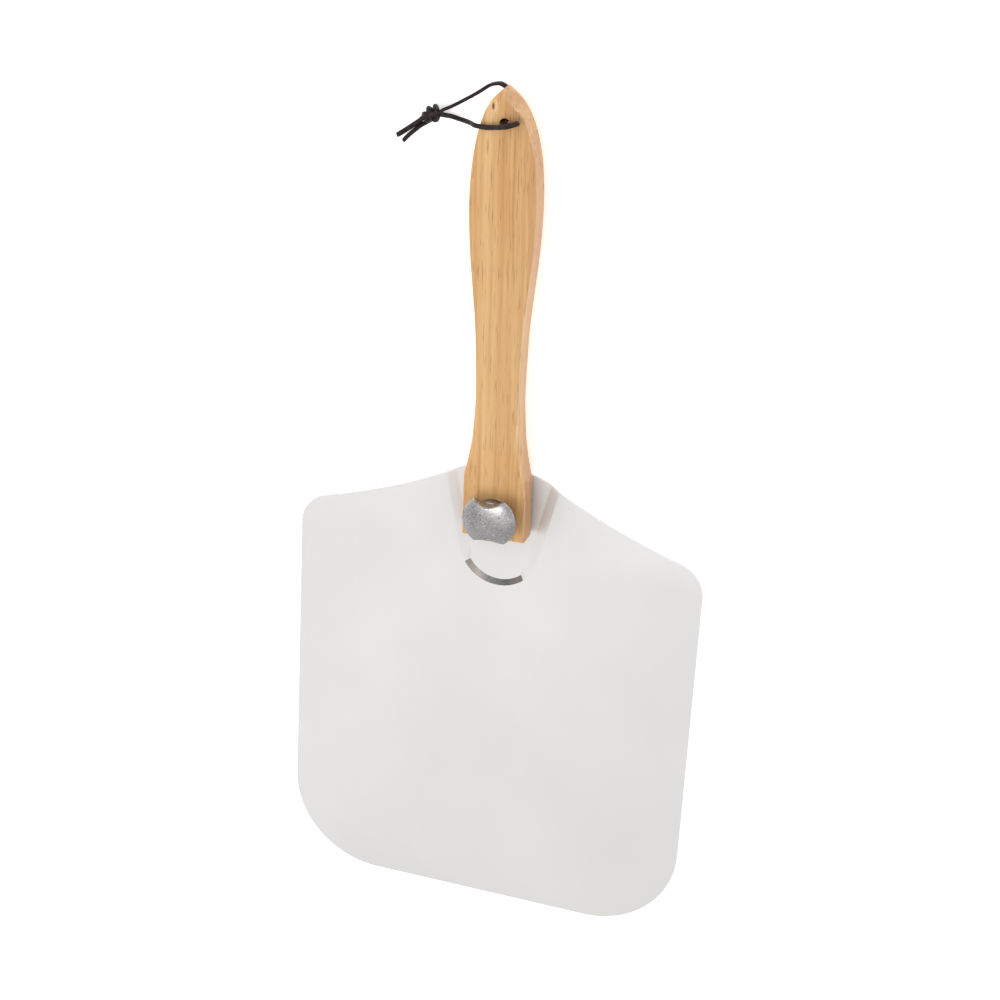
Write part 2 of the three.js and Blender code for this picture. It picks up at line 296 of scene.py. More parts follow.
class Nodes:
    """A short way to write a material's node tree."""

    def __init__(self, name):
        self.material = bpy.data.materials.new(name)
        self.material.use_nodes = True
        self.tree = self.material.node_tree
        self.shader = self.tree.nodes["Principled BSDF"]

    def add(self, kind, inputs=None, **settings):
        node = self.tree.nodes.new(kind)
        for key, value in settings.items():
            setattr(node, key, value)
        for key, value in (inputs or {}).items():
            if hasattr(value, "is_linked"):
                self.tree.links.new(value, node.inputs[key])
            else:
                node.inputs[key].default_value = value
        return node

    def place(self, scale=(1, 1, 1), turn=0.0):
        """Object coordinates, turned about Z and then scaled."""
        coordinates = self.add("ShaderNodeTexCoord").outputs["Object"]
        turned = self.add(
            "ShaderNodeMapping", {"Vector": coordinates, "Rotation": (0, 0, turn)}
        ).outputs[0]
        return self.add("ShaderNodeMapping", {"Vector": turned, "Scale": scale}).outputs[0]

    def scaled(self, vector, scale):
        return self.add("ShaderNodeMapping", {"Vector": vector, "Scale": scale}).outputs[0]

    def sideways(self, value, reach):
        """A vector along X: the value, taken as 0 at one half, times reach."""
        shifted = self.math("MULTIPLY", self.math("SUBTRACT", value, 0.5), reach)
        return self.add("ShaderNodeCombineXYZ", {"X": shifted}).outputs[0]

    def spot(self, vector, centre, squeeze, radius):
        """1 inside an ellipsoid round centre and 0 outside it, with a soft edge."""
        offset = self.add("ShaderNodeVectorMath", {0: vector, 1: centre}, operation="SUBTRACT").outputs[0]
        squeezed = self.scaled(offset, squeeze)
        reach = self.add("ShaderNodeVectorMath", {0: squeezed}, operation="LENGTH").outputs["Value"]
        return self.share(reach, radius, radius * 0.5)

    def share(self, value, nothing, everything):
        """0 where the value is at nothing, 1 where it is at everything."""
        inputs = {"Value": value, "From Min": nothing, "From Max": everything}
        return self.add("ShaderNodeMapRange", inputs).outputs[0]

    def noise(self, vector, scale, detail=4.0, roughness=0.5):
        inputs = {"Vector": vector, "Scale": scale, "Detail": detail, "Roughness": roughness}
        return self.add("ShaderNodeTexNoise", inputs).outputs["Fac"]

    def ramp(self, value, stops):
        """A colour ramp: stops are (position, grey or colour)."""
        node = self.add("ShaderNodeValToRGB", {"Fac": value})
        elements = node.color_ramp.elements
        while len(elements) < len(stops):
            elements.new(0.5)
        for element, (position, colour) in zip(elements, stops):
            element.position = position
            grey = isinstance(colour, (int, float))
            element.color = (colour, colour, colour, 1) if grey else (*colour, 1)
        return node.outputs["Color"]

    def mix(self, factor, a, b, blend="MIX"):
        node = self.add("ShaderNodeMix", data_type="RGBA", blend_type=blend)
        for socket, value in ((0, factor), (6, a), (7, b)):
            if hasattr(value, "is_linked"):
                self.tree.links.new(value, node.inputs[socket])
            elif isinstance(value, (int, float)):
                node.inputs[socket].default_value = value
            else:
                node.inputs[socket].default_value = (*value, 1)
        return node.outputs[2]

    def math(self, operation, a, b):
        return self.add("ShaderNodeMath", {0: a, 1: b}, operation=operation).outputs[0]

    def bump(self, height, strength, distance):
        inputs = {"Height": height, "Strength": strength, "Distance": distance}
        normal = self.add("ShaderNodeBump", inputs).outputs[0]
        self.tree.links.new(normal, self.shader.inputs["Normal"])

    def set(self, **values):
        for key, value in values.items():
            socket = self.shader.inputs[key.replace("_", " ")]
            if hasattr(value, "is_linked"):
                self.tree.links.new(value, socket)
            else:
                socket.default_value = value


def satin_aluminium():
    """Rolled and anodised sheet: clouded, with faint streaks along its length."""
    m = Nodes("satin_aluminium")
    place = m.place((1, 1, 1))
    streaks = m.noise(m.scaled(place, (900, 12, 12)), 1.0, 3.0, 0.6)
    clouds = m.noise(m.scaled(place, (7, 7, 7)), 1.0, 3.0)
    colour = m.mix(m.ramp(clouds, [(0.35, 0.0), (0.7, 1.0)]), (0.675, 0.67, 0.662), (0.715, 0.708, 0.70))
    m.set(Base_Color=colour, Metallic=0.5, Roughness=m.ramp(streaks, [(0.3, 0.50), (0.75, 0.56)]))
    tooth = m.noise(m.scaled(place, (2600, 900, 900)), 1.0, 2.0)
    m.bump(tooth, 0.04, 0.0002)
    return m.material


def painted_reflection_aluminium():
    """The recess's end wall, painted dark blue-grey in the middle as a reflection of the knob's shaded
    underside, and browner towards its ends as a painted reflection of the handle's heel, with lighter
    scuffs.
    """
    m = Nodes("painted_reflection_aluminium")
    place = m.place((1, 1, 1))
    across = m.add("ShaderNodeSeparateXYZ", {0: place}).outputs["X"]
    # Painted reflection: dark blue-grey in the middle (the knob's shaded underside), browner towards the
    # ends (the shaded heel).
    endwards = m.share(m.math("ABSOLUTE", across, 0.0), 0.007, 0.015)
    painted_light_tone = m.mix(endwards, (0.055, 0.06, 0.066), (0.24, 0.215, 0.19))
    scuffs = m.noise(place, 1500.0, 3.0, 0.7)
    colour = m.mix(m.ramp(scuffs, [(0.45, 0.0), (0.62, 1.0)]), painted_light_tone, (0.20, 0.19, 0.18))
    m.set(Base_Color=colour, Metallic=1.0, Roughness=m.ramp(scuffs, [(0.3, 0.40), (0.7, 0.52)]))
    m.bump(scuffs, 0.25, 0.0002)
    return m.material


def cast_metal():
    """Tumbled die casting: mid grey with dark and bright pits."""
    m = Nodes("cast_metal")
    coordinates = m.place((1, 1, 1))
    pits = m.noise(coordinates, 1150.0, 2.0, 0.6)
    specks = m.noise(coordinates, 620.0, 3.0, 0.7)
    clouds = m.noise(coordinates, 90.0, 3.0)
    base = m.mix(m.ramp(clouds, [(0.35, 0.0), (0.65, 1.0)]), (0.31, 0.305, 0.305), (0.39, 0.38, 0.375))
    dark = m.mix(m.ramp(specks, [(0.34, 1.0), (0.41, 0.0)]), base, (0.13, 0.13, 0.14))
    colour = m.mix(m.ramp(pits, [(0.60, 0.0), (0.65, 1.0)]), dark, (0.68, 0.67, 0.67))
    m.set(Base_Color=colour, Metallic=1.0)
    m.set(Roughness=m.ramp(specks, [(0.3, 0.46), (0.7, 0.33)]))
    m.bump(m.mix(0.5, pits, specks), 0.25, 0.00025)
    return m.material


def hardwood(name, painted_light_tone, coat):
    """Straight-grained light hardwood: growth streaks, orange-brown veins, short dark pores, one knot."""
    m = Nodes(name)
    along = m.place((1, 1, 1), -HANDLE_TURN)
    drift = m.noise(m.scaled(along, (4, 3, 4)), 1.0, 2.0)
    sway = m.sideways(drift, 0.016)
    wavy = m.add("ShaderNodeVectorMath", {0: along, 1: sway}, operation="ADD").outputs[0]
    streaks = m.noise(m.scaled(wavy, (170, 2.6, 60)), 1.0, 6.0, 0.62)
    colour = m.ramp(streaks, [
        (0.36, (0.50, 0.25, 0.085)),
        (0.46, (0.58, 0.325, 0.125)),
        (0.54, (0.635, 0.38, 0.160)),
        (0.64, (0.74, 0.485, 0.235)),
    ])
    vein = m.ramp(m.noise(m.scaled(wavy, (85, 1.5, 30)), 1.0, 5.0, 0.7), [(0.50, 0.0), (0.58, 1.0)])
    colour = m.mix(m.math("MULTIPLY", vein, 0.7), colour, (0.47, 0.215, 0.068))
    fleck = m.noise(m.scaled(wavy, (900, 46, 400)), 1.0, 2.0)
    pore = m.ramp(fleck, [(0.60, 0.0), (0.67, 1.0)])
    colour = m.mix(m.math("MULTIPLY", pore, 0.62), colour, (0.27, 0.125, 0.045))
    ripple = m.ramp(m.noise(m.scaled(wavy, (28, 9, 20)), 1.0, 3.0), [(0.40, 0.0), (0.62, 1.0)])
    colour = m.mix(m.math("MULTIPLY", ripple, 0.22), colour, (0.73, 0.49, 0.24))
    halo = m.spot(along, KNOT_MARK + Vector((0.0016, 0, 0)), (1.0, 0.42, 0.3), 0.0024)
    colour = m.mix(m.math("MULTIPLY", halo, 0.6), colour, (0.80, 0.50, 0.33))
    mark = m.spot(along, KNOT_MARK, (1.0, 0.40, 0.3), 0.0013)
    colour = m.mix(m.math("MULTIPLY", mark, 0.9), colour, (0.10, 0.035, 0.018))
    # The tone paints light and shade into the wood: the sides' copy is darker as painted shade, and the
    # arris copy is lighter as a painted highlight.
    colour = m.mix(1.0, colour, painted_light_tone, "MULTIPLY")
    m.set(Base_Color=colour, Specular_IOR_Level=0.4, Coat_Weight=coat, Coat_Roughness=0.2)
    m.set(Roughness=m.ramp(streaks, [(0.3, 0.52), (0.7, 0.42)]))
    m.bump(m.math("SUBTRACT", streaks, pore), 0.14, 0.0003)
    return m.material


def waxed_leather():
    """Dark brown lace leather: fine grain, worn lighter in patches."""
    m = Nodes("waxed_leather")
    coordinates = m.place((1, 1, 1))
    grain = m.noise(coordinates, 2600.0, 3.0, 0.65)
    wear = m.noise(coordinates, 260.0, 3.0)
    colour = m.mix(m.ramp(wear, [(0.4, 0.0), (0.72, 1.0)]), (0.008, 0.0042, 0.0036), (0.032, 0.018, 0.015))
    m.set(Base_Color=colour, Specular_IOR_Level=0.22, Roughness=m.ramp(grain, [(0.3, 0.42), (0.7, 0.60)]))
    m.bump(grain, 0.4, 0.0002)
    return m.material


def vulcanised_fibre():
    m = Nodes("vulcanised_fibre")
    coordinates = m.place((1, 1, 1))
    strands = m.noise(coordinates, 900.0, 5.0, 0.7)
    colour = m.ramp(strands, [(0.3, (0.05, 0.024, 0.014)), (0.7, (0.12, 0.062, 0.036))])
    m.set(Base_Color=colour, Roughness=m.ramp(strands, [(0.3, 0.7), (0.7, 0.85)]))
    m.bump(strands, 0.3, 0.0002)
    return m.material


def turned_metal(name, dark, light, roughness):
    """Plated or solid metal with lathe marks around the pivot axis."""
    m = Nodes(name)
    coordinates = m.place((1, 1, 1))
    rings = m.add(
        "ShaderNodeTexWave",
        {"Vector": coordinates, "Scale": 420.0, "Distortion": 1.2, "Detail": 2.0},
        wave_type="RINGS",
        rings_direction="Z",
    ).outputs["Fac"]
    stains = m.noise(coordinates, 240.0, 4.0)
    m.set(Base_Color=m.mix(stains, dark, light), Metallic=1.0)
    m.set(Roughness=m.ramp(rings, [(0.2, roughness), (0.8, roughness + 0.12)]))
    m.bump(rings, 0.08, 0.0001)
    return m.material


def paint(piece, material):
    piece.data.materials.clear()
    piece.data.materials.append(material)


def camera_view():
    camera = bpy.data.objects.new("camera", bpy.data.cameras.new("camera"))
    bpy.context.scene.collection.objects.link(camera)
    camera.data.lens = CAMERA_LENS
    camera.data.sensor_width = 36
    camera.data.clip_start = 0.05
    camera.data.clip_end = 20
    aim = (CAMERA_TARGET - CAMERA_PLACE).to_track_quat("-Z", "Y").to_matrix()
    turned = (aim @ Matrix.Rotation(CAMERA_ROLL, 3, "Z")).to_4x4()
    camera.matrix_world = Matrix.Translation(CAMERA_PLACE) @ turned
    bpy.context.scene.camera = camera


def lace_section(scale=1.0):
    """A flat lace's section, with rounded corners, as (across, up) pairs."""
    corner = 0.0009
    across, up = THONG_WIDTH * scale / 2 - corner, THONG_THICKNESS / 2 - corner
    section = []
    for k, (x, y) in enumerate(((across, up), (-across, up), (-across, -up), (across, -up))):
        start = k * math.pi / 2
        section += arc(Vector((x, y)), corner, start, start + math.pi / 2, 3)
    return section


def lace(name, path, side, twist=None, scale=1.0):
    """A lace along a path. side is its width's direction at the start; twist turns it along its length."""
    section = lace_section(scale)
    vertices, faces = [], []
    width = Vector(side)
    for i, point in enumerate(path):
        ahead = path[min(i + 1, len(path) - 1)] - path[max(i - 1, 0)]
        ahead.normalize()
        width = (width - ahead * width.dot(ahead)).normalized()
        angle = twist(i / (len(path) - 1)) if twist else 0.0
        across = Matrix.Rotation(angle, 3, ahead) @ width
        up = ahead.cross(across)
        vertices += [point + across * x + up * y for x, y in section]
    count = len(section)
    for i in range(len(path) - 1):
        for k in range(count):
            a, b = i * count + k, i * count + (k + 1) % count
            faces.append((a, b, b + count, a + count))
    faces.append(tuple(reversed(range(count))))
    faces.append(tuple(range(len(vertices) - count, len(vertices))))
    return mesh_object(name, vertices, faces, 50)


def knot_wraps(centre, along):
    """The tight turns round the strands: a path that winds along the knot's axis."""
    across = Vector((0, 0, 1)).cross(along).normalized()
    up = along.cross(across)
    wrap = []
    for k in range(90):
        t = k / 89
        angle = math.pi * 0.3 + 2 * math.pi * KNOT_TURNS * t
        shift = (t - 0.5) * KNOT_TURNS * KNOT_PITCH
        swell = KNOT_RADIUS * (1 - 0.2 * abs(2 * t - 1) ** 2)
        around = across * math.cos(angle) + up * math.sin(angle)
        wrap.append(centre + along * shift + around * swell)
    return wrap


def knot(name, centre, along):
    """An overhand knot drawn up tight: wide turns, and one lobe that crosses over them to the tails."""
    along = along.normalized()
    across = Vector((0, 0, 1)).cross(along).normalized()
    wraps = lace(name, knot_wraps(centre, along), along, scale=1.25)
    over = [
        centre + along * 0.0062 - across * 0.0022 + Vector((0, 0, -0.001)),
        centre + along * 0.0052 - across * 0.0012 + Vector((0, 0, 0.0030)),
        centre + along * 0.0012 + across * 0.0010 + Vector((0, 0, 0.0056)),
        centre - along * 0.0034 + across * 0.0022 + Vector((0, 0, 0.0048)),
        centre - along * 0.0064 + across * 0.0016 + Vector((0, 0, 0.0012)),
        centre - along * 0.0074 + across * 0.0004 + Vector((0, 0, -0.0026)),
    ]
    lobe = lace("lobe", catmull_rom(over, 6), across)
    with bpy.context.temp_override(active_object=wraps, selected_editable_objects=[wraps, lobe]):
        bpy.ops.object.join()
    return wraps


def strand(name, route, side, material, twist=None):
    piece = lace(name, catmull_rom(route, 6), side, twist)
    paint(piece, material)
    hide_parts(name.replace("lace", "cord"))
    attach(piece, "handle_assembly")
    crumple(piece)
    return piece


def crumple(piece):
    """Gives the piece its own copy of its mesh."""
    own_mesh(piece)


def quarter_turn(share):
    """The back strand's quarter turn, from lying flat to standing on its edge."""
    return math.pi / 2 * smoothstep(0.25, 0.6, share)


def hanging_thong(material):
    centre = (knot_low + knot_high) / 2
    inside = [(centre.x + 0.003, centre.y, centre.z - 0.0010)]
    front_path, back_path = FRONT_ROUTE + inside, BACK_ROUTE + inside
    front = strand("lace_front", front_path, (-0.35, 1, 0), material)
    back = strand("lace_back", back_path, (1, 0, 0), material, quarter_turn)
    tail_1 = strand("lace_tail_1", inside + TAIL_1_ROUTE, (0.6, 0.8, 0), material)
    tail_2 = strand("lace_tail_2", inside + TAIL_2_ROUTE, (0.6, 0.8, 0), material)
    tie = knot("lace_knot", centre, Vector((1, 0.45, 0)))
    paint(tie, material)
    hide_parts("cord_knot")
    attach(tie, "handle_assembly")
    crumple(tie)


def blade_outline():
    """The blade's plan, anticlockwise from the middle of its front edge."""
    front = blade_low.y
    corner = FRONT_HALF_WIDTH - FRONT_CORNER_RADIUS
    rear = blade_high.x - REAR_CORNER_RADIUS
    rear_angle = math.acos((SHOULDER_START.x - rear) / REAR_CORNER_RADIUS)
    corner_centre = Vector((corner, front + FRONT_CORNER_RADIUS))
    right = [Vector((0, front))]
    right += arc(corner_centre, FRONT_CORNER_RADIUS, -math.pi / 2, 0, 28)
    right += arc(Vector((rear, REAR_CORNER_Y)), REAR_CORNER_RADIUS, 0, rear_angle, 16)
    neck = Vector((0, blade_high.y))
    right += quadratic(SHOULDER_START, SHOULDER_BEND, SHOULDER_END, 16)
    right += quadratic(SHOULDER_END, Vector((NECK_BEND_X, neck.y)), neck, 12)
    return right + [Vector((-p.x, p.y)) for p in reversed(right[1:-1])]


def recess_offset(point):
    """(distance inside the recess's rim, width of its wall there) in plan."""
    x, y = abs(point.x), point.y - RECESS_Y
    if y > -x * math.tan(RECESS_SPLAY):
        inside = RECESS_RADIUS - x * math.cos(RECESS_SPLAY) + y * math.sin(RECESS_SPLAY)
        return inside, RECESS_WALL_AT_SIDE
    reach = math.hypot(x, y)
    turn = math.sin(END_WALL_LEFT if point.x < 0 else END_WALL_RIGHT)
    slant = smoothstep(turn, turn + 0.12, x / reach)
    wall = RECESS_WALL_AT_ARC + (RECESS_WALL_AT_SIDE - RECESS_WALL_AT_ARC) * slant
    return RECESS_RADIUS - reach, wall


def eased(distance):
    """0 before an edge and distance after it, rounded over a press radius on each side."""
    if distance < -PRESS_RADIUS:
        return 0.0
    if distance > PRESS_RADIUS:
        return distance
    return (distance + PRESS_RADIUS) ** 2 / (4 * PRESS_RADIUS)


def blade_height(point):
    inside, wall = recess_offset(point)
    return blade_high.z - RECESS_DEPTH / wall * (eased(inside) - eased(inside - wall))


def recess_lines():
    """Lines along the recess's wall, across its rim, slope and floor edge, for the mesh to follow."""
    shares = [k / 6 for k in range(7)]
    radii = [-1, -0.5, 0, 0.5, 1]
    lines = []
    steps = [("rim", r) for r in radii] + [("slope", s) for s in shares[1:-1]]
    steps += [("floor", r) for r in radii]
    for kind, amount in steps:
        line = []
        for k in range(97):
            share = k / 48 - 1
            angle = -math.pi / 2 + max(-1, min(1, share * 2)) * (math.pi / 2 - RECESS_SPLAY)
            run = max(0, abs(share) * 2 - 1) * 0.095
            outward = Vector((math.cos(angle), math.sin(angle)))
            probe = outward * RECESS_RADIUS
            wall = recess_offset(Vector((probe.x, probe.y + RECESS_Y)))[1]
            inset = {"rim": 0, "slope": amount * wall, "floor": wall}[kind]
            if kind != "slope":
                inset += amount * PRESS_RADIUS
            along = Vector((math.copysign(math.sin(RECESS_SPLAY), share), math.cos(RECESS_SPLAY)))
            point = outward * (RECESS_RADIUS - inset) + along * run
            line.append(Vector((point.x, point.y + RECESS_Y)))
        lines.append(line)
    return lines


def inside_loop(point, loop):
    """Whether a plan point is inside a closed loop."""
    crossings = 0
    for a, b in zip(loop, loop[1:] + loop[:1]):
        if (a.y > point.y) != (b.y > point.y):
            if point.x < a.x + (point.y - a.y) * (b.x - a.x) / (b.y - a.y):
                crossings += 1
    return crossings % 2 == 1


def on_end_wall(place):
    """Whether a place on the sheet is on the wall round the recess's end."""
    inside, wall = recess_offset(place)
    angle = math.atan2(place.x, RECESS_Y - place.y)
    return 0 < inside < wall and -END_WALL_LEFT < angle < END_WALL_RIGHT


def pressed_sheet():
    """The blade's top face: its plan cut into triangles that follow the recess."""
    outline = blade_outline()
    half = BOLT_HOLE / 2
    hole = [Vector((half, half)), Vector((-half, half)), Vector((-half, -half)), Vector((half, -half))]
    points, edges = [], []
    for loop in (outline, hole):
        first = len(points)
        points += loop
        edges += [(first + k, first + (k + 1) % len(loop)) for k in range(len(loop))]
    for line in recess_lines():
        first = len(points)
        points += line
        edges += [(first + k, first + k + 1) for k in range(len(line) - 1)]
    found, _, triangles, *_ = delaunay_2d_cdt(points, edges, [], 0, 1e-6)
    kept = []
    for triangle in triangles:
        middle = sum((found[k] for k in triangle), Vector((0, 0))) / len(triangle)
        if inside_loop(middle, outline) and not inside_loop(middle, hole):
            kept.append(tuple(triangle))
    vertices = [(p.x, p.y, blade_height(p)) for p in found]
    return mesh_object("blade_sheet", vertices, kept, 60)


def blade(sheet_material, wall_material):
    piece = pressed_sheet()
    solid = piece.modifiers.new("sheet", "SOLIDIFY")
    solid.thickness = SHEET
    solid.offset = -1
    solid.use_even_offset = True
    apply_modifiers(piece)
    edge = piece.modifiers.new("deburred", "BEVEL")
    edge.width = 0.0003
    edge.segments = 2
    edge.angle_limit = math.radians(60)
    apply_modifiers(piece)
    tidy_normals(piece, 50)
    paint(piece, sheet_material)
    piece.data.materials.append(wall_material)
    for face in piece.data.polygons:
        # The faces of the wall round the recess's end get the material with the painted reflection.
        face.material_index = 1 if face.normal.z > 0.5 and on_end_wall(face.center) else 0
    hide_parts("blade")
    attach(piece, "blade_assembly")


def inward(loop):
    """The step inwards from each corner of an anticlockwise loop that moves both its sides in by 1."""
    found = []
    for k, point in enumerate(loop):
        before = (point - loop[k - 1]).normalized()
        after = (loop[(k + 1) % len(loop)] - point).normalized()
        a, b = Vector((-before.y, before.x)), Vector((-after.y, after.x))
        found.append((a + b) / (1 + a.dot(b)))
    return found


def ring_faces(first, second, count):
    """Four-sided faces between two rings of count vertices that start at first and second."""
    faces = []
    for k in range(count):
        j = (k + 1) % count
        faces.append((first + k, first + j, second + j, second + k))
    return faces


def leaned(x, y):
    """A plan point of the grip, moved with its centre line, which leans to the left towards the tip."""
    share = max(0.0, (y - LEAN_START) / (HANDLE_TIP - LEAN_START))
    return Vector((x - TIP_LEAN * share**2, y))


def handle_outline():
    """The plank's plan without the tip's lean, anticlockwise from its heel's left corner."""
    right = catmull_rom(GRIP, 5)
    heel = []
    half = GRIP[0][0]
    for k in range(13):
        heel.append(Vector((half * (k / 6 - 1), HANDLE_END)))
    for k in range(1, 9):
        heel.append(Vector((half, HANDLE_END + (GRIP[0][1] - HANDLE_END) * k / 9)))
    left = [Vector((-p.x, p.y)) for p in reversed(right[:-1])]
    for k in range(1, 9):
        left.append(Vector((-half, GRIP[0][1] + (HANDLE_END - GRIP[0][1]) * k / 9)))
    return heel + right + left


def mitred(ring, outline):
    """The ring with the tip points that an inset has carried across the centre line gathered on it."""
    right = [(p, q) for p, q in zip(ring, outline) if q.x > 0 and q.y > HANG_HOLE_Y]
    crossed = [p for p, q in right if p.x < 0]
    if not crossed:
        return ring
    last, first = [p for p, q in right if p.x >= 0][-1], crossed[0]
    meeting = last.lerp(first, last.x / (last.x - first.x))
    gathered = []
    for p, q in zip(ring, outline):
        over = q.y > HANG_HOLE_Y and (p.x * q.x < 0 or abs(q.x) < 1e-6)
        gathered.append(Vector((0, meeting.y, meeting.z)) if over else p)
    return gathered


def plank_side(normal):
    """The material of a face of the plank: 0 the flat faces, 1 the sides, in painted shade, 2 the upper
    arris, with a painted highlight.
    """
    if abs(normal.z) > 0.95:
        return 0
    # Chamfer faces that turn up and to the right get the painted highlight.
    return 2 if normal.z > 0.3 and normal.x > -0.25 else 1


def chamfer_size(y):
    """The width of the plank's broken edge at a distance from the pivot."""
    tipness = smoothstep(*TIP_CHAMFER_GROWS, y)
    flare = smoothstep(*FLARE_CHAMFER_GROWS, y) * (1 - smoothstep(*FLARE_CHAMFER_FADES, y))
    chamfer = EDGE_BREAK + (TIP_CHAMFER - EDGE_BREAK) * tipness
    chamfer += (FLARE_CHAMFER - EDGE_BREAK) * flare
    return chamfer, 0.3 + 0.2 * max(tipness, flare)


def plank_ring(outline, step, share, height, direction):
    """One ring of the broken edge: share 1 on the flat face, 0 on the side and 0.5 between them."""
    ring = []
    for point, move in zip(outline, step):
        chamfer, middle = chamfer_size(point.y)
        inset = {1.0: 1.0, 0.5: middle, 0.0: 0.0}[share]
        drop = {1.0: 0.0, 0.5: middle, 0.0: 1.0}[share]
        plan = point + move * (chamfer * inset)
        ring.append(Vector((plan.x, plan.y, height + direction * chamfer * CHAMFER_STEEPNESS * drop)))
    return mitred(ring, outline)


def handle(materials):
    """The plank, with broken edges that widen to a chamfer round the tip and along the flare."""
    outline = handle_outline()
    step = inward(outline)
    low, high = handle_low.z, handle_high.z
    rings = [plank_ring(outline, step, share, low, 1) for share in (1.0, 0.5, 0.0)]
    rings += [plank_ring(outline, step, share, high, -1) for share in (0.0, 0.5, 1.0)]
    count = len(outline)
    vertices = [leaned(v.x, v.y).to_3d() + Vector((0, 0, v.z)) for ring in rings for v in ring]
    faces = [tuple(reversed(range(count)))]
    for k in range(len(rings) - 1):
        faces += ring_faces(k * count, (k + 1) * count, count)
    faces.append(tuple(range((len(rings) - 1) * count, len(rings) * count)))
    piece = mesh_object("handle_plank", vertices, faces, 24)
    drill(piece, 0, 0, PIVOT_HOLE_RADIUS, low - 0.01, high + 0.01)
    drill(piece, 0, HANG_HOLE_Y, HANG_HOLE_RADIUS, low - 0.01, high + 0.01)
    tidy_normals(piece, 24)
    piece.data.transform(Matrix.Rotation(HANDLE_TURN, 4, "Z"))
    for material in materials:
        piece.data.materials.append(material)
    for face in piece.data.polygons:
        face.material_index = plank_side(face.normal)
    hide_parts("handle")
    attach(piece, "handle_assembly")


def knob_outline():
    """The knob's plan, anticlockwise: two rim arcs joined by two hollow notches."""
    distance = KNOB_NOTCH_DEPTH_RADIUS + KNOB_NOTCH_RADIUS
    reach = KNOB_RADIUS
    corner_y = (reach**2 + distance**2 - KNOB_NOTCH_RADIUS**2) / (2 * distance)
    corner_angle = math.asin(corner_y / reach)
    notch_angle = math.asin(math.sqrt(reach**2 - corner_y**2) / KNOB_NOTCH_RADIUS)
    origin, down = Vector((0, 0)), -math.pi / 2
    rim = arc(origin, reach, -corner_angle, corner_angle, 36)
    notch = arc(Vector((0, distance)), KNOB_NOTCH_RADIUS, down + notch_angle, down - notch_angle, 36)
    half = rim[:-1] + notch[:-1]
    return half + [-p for p in half]


def dome_height(radius):
    sagitta = knob_high.z - KNOB_RIM_TOP
    sphere = (KNOB_RADIUS**2 + sagitta**2) / (2 * sagitta)
    return knob_high.z - sphere + math.sqrt(sphere**2 - radius**2)


def cap_rings(outline):
    """The knob's dome, its rounded rim and the rim's underside, as rings from the middle outwards."""
    step = inward(outline)
    rings = []
    for share in (0.15, 0.35, 0.55, 0.72, 0.86):
        ring = [p * share for p in outline]
        rings.append([Vector((p.x, p.y, dome_height(p.length))) for p in ring])
    for inset, drop in ((1.0, 0.0), (0.3, 0.3), (0.0, 1.0)):
        ring = [p + s * (KNOB_EDGE * inset) for p, s in zip(outline, step)]
        heights = [dome_height(min(p.length, KNOB_RADIUS)) - KNOB_EDGE * drop for p in ring]
        rings.append([Vector((p.x, p.y, z)) for p, z in zip(ring, heights)])
    for inset, rise in ((0.0, 0.6), (0.3, 0.2), (0.8, 0.0)):
        ring = [p + s * (KNOB_EDGE * inset) for p, s in zip(outline, step)]
        rings.append([Vector((p.x, p.y, KNOB_RIM_BOTTOM + KNOB_EDGE * rise)) for p in ring])
    return rings


def hub_rings(outline):
    """The knob's hub, from under the rim down to its foot and up into its bore."""
    rings = []
    for radius, z in (
        (KNOB_HUB_RADIUS - 0.0012, KNOB_RIM_BOTTOM),
        (KNOB_HUB_RADIUS - 0.0012, KNOB_RIM_BOTTOM - 0.0004),
        (KNOB_HUB_RADIUS, KNOB_RIM_BOTTOM - 0.0008),
        (KNOB_HUB_RADIUS, knob_low.z + 0.0005),
        (KNOB_HUB_RADIUS - 0.0005, knob_low.z),
        (KNOB_BORE_RADIUS, knob_low.z),
        (KNOB_BORE_RADIUS, KNOB_BORE_TOP),
    ):
        ring = [p.normalized() * radius for p in outline]
        rings.append([Vector((p.x, p.y, z)) for p in ring])
    return rings


def knob(material):
    outline = knob_outline()
    count = len(outline)
    rings = cap_rings(outline) + hub_rings(outline)
    vertices = [v for ring in rings for v in ring]
    faces = [tuple(range(count))]
    for k in range(len(rings) - 1):
        faces += ring_faces(k * count, (k + 1) * count, count)
    faces.append(tuple(range((len(rings) - 1) * count, len(rings) * count)))
    piece = mesh_object("knob_cap", vertices, faces, 40)
    piece.data.transform(Matrix.Rotation(KNOB_TURN, 4, "Z"))
    paint(piece, material)
    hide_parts("knob")
    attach(piece, "clamp_knob")


def turned_piece(name, profile, material, segments=96):
    """A solid of revolution round the pivot axis, from (radius, height) pairs."""
    vertices, faces = [], []
    for radius, height in profile:
        for k in range(segments):
            angle = 2 * math.pi * k / segments
            vertices.append((radius * math.cos(angle), radius * math.sin(angle), height))
    for k in range(len(profile) - 1):
        faces += ring_faces(k * segments, (k + 1) * segments, segments)
    piece = mesh_object(name, vertices, faces, 40)
    paint(piece, material)
    return piece


